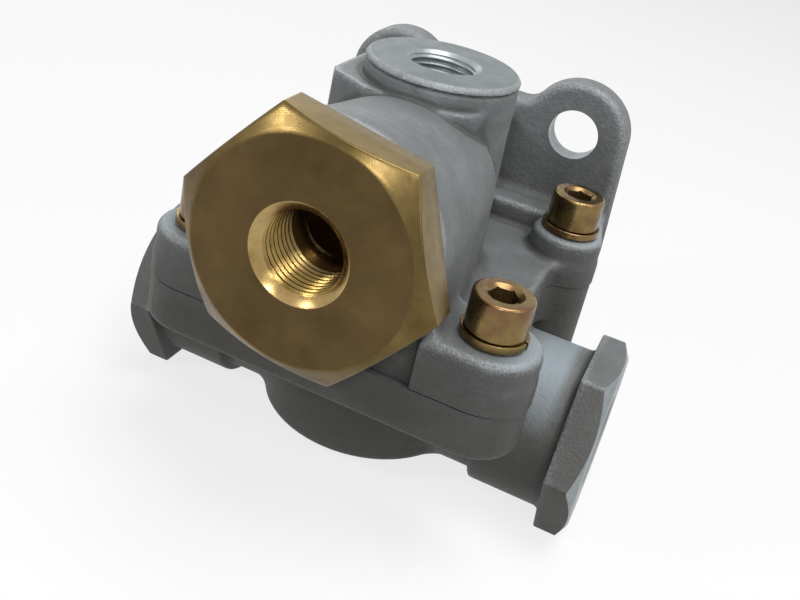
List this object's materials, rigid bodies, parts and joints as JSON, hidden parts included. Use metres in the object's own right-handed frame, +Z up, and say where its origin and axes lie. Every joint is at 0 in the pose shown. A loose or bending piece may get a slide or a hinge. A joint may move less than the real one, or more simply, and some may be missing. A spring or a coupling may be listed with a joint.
{
  "type": "quick exhaust valve",
  "caption": "Cast quick exhaust valve for compressed air with a brass hex inlet adapter, a top inlet, side outlet ports, a shuttle, an exhaust diaphragm and a drilled mounting plate.",
  "frame": {"origin": "on the back face of the mounting plate, midway between the two mounting holes", "axes": "+X through the two side ports, +Y back out of the mounting face, +Z up towards the top port"},
  "size_m": [0.1164, 0.1115, 0.0973],
  "materials": {
    "cast_aluminium": "tumbled casting with machined faces",
    "turned_brass": "faced and milled, lightly tarnished",
    "sleeve_brass": "turned",
    "yellow_zinc": "yellow passivated zinc plate",
    "rubber": "moulded",
    "acetal": "turned",
    "rivet_steel": "plain"
  },
  "bodies": {
    "housing": {"valve_cover": "cast_aluminium", "valve_body": "cast_aluminium", "inlet_adapter": "turned_brass", "adapter_o_ring": "rubber", "cover_o_ring": "rubber", "shuttle_sleeve": "sleeve_brass", "exhaust_flap": "rubber", "flap_rivet": "rivet_steel", "cover_screw_front_left": "yellow_zinc", "cover_screw_front_right": "yellow_zinc", "cover_screw_rear_left": "yellow_zinc", "cover_screw_rear_right": "yellow_zinc", "screw_washer_front_left": "yellow_zinc", "screw_washer_front_right": "yellow_zinc", "screw_washer_rear_left": "yellow_zinc", "screw_washer_rear_right": "yellow_zinc"},
    "shuttle_spool": {"shuttle": "acetal", "shuttle_front_seal": "rubber", "shuttle_rear_seal": "rubber"},
    "diaphragm_disc": {"diaphragm": "rubber"}
  },
  "joints": [
    {"name": "shuttle_slide", "type": "slide", "parent": "housing", "child": "shuttle_spool", "axis": [0, 1, 0], "range_m": [0, 0.0063]},
    {"name": "diaphragm_lift", "type": "slide", "parent": "housing", "child": "diaphragm_disc", "axis": [0, 0, 1], "range_m": [0, 0.003]}
  ]
}
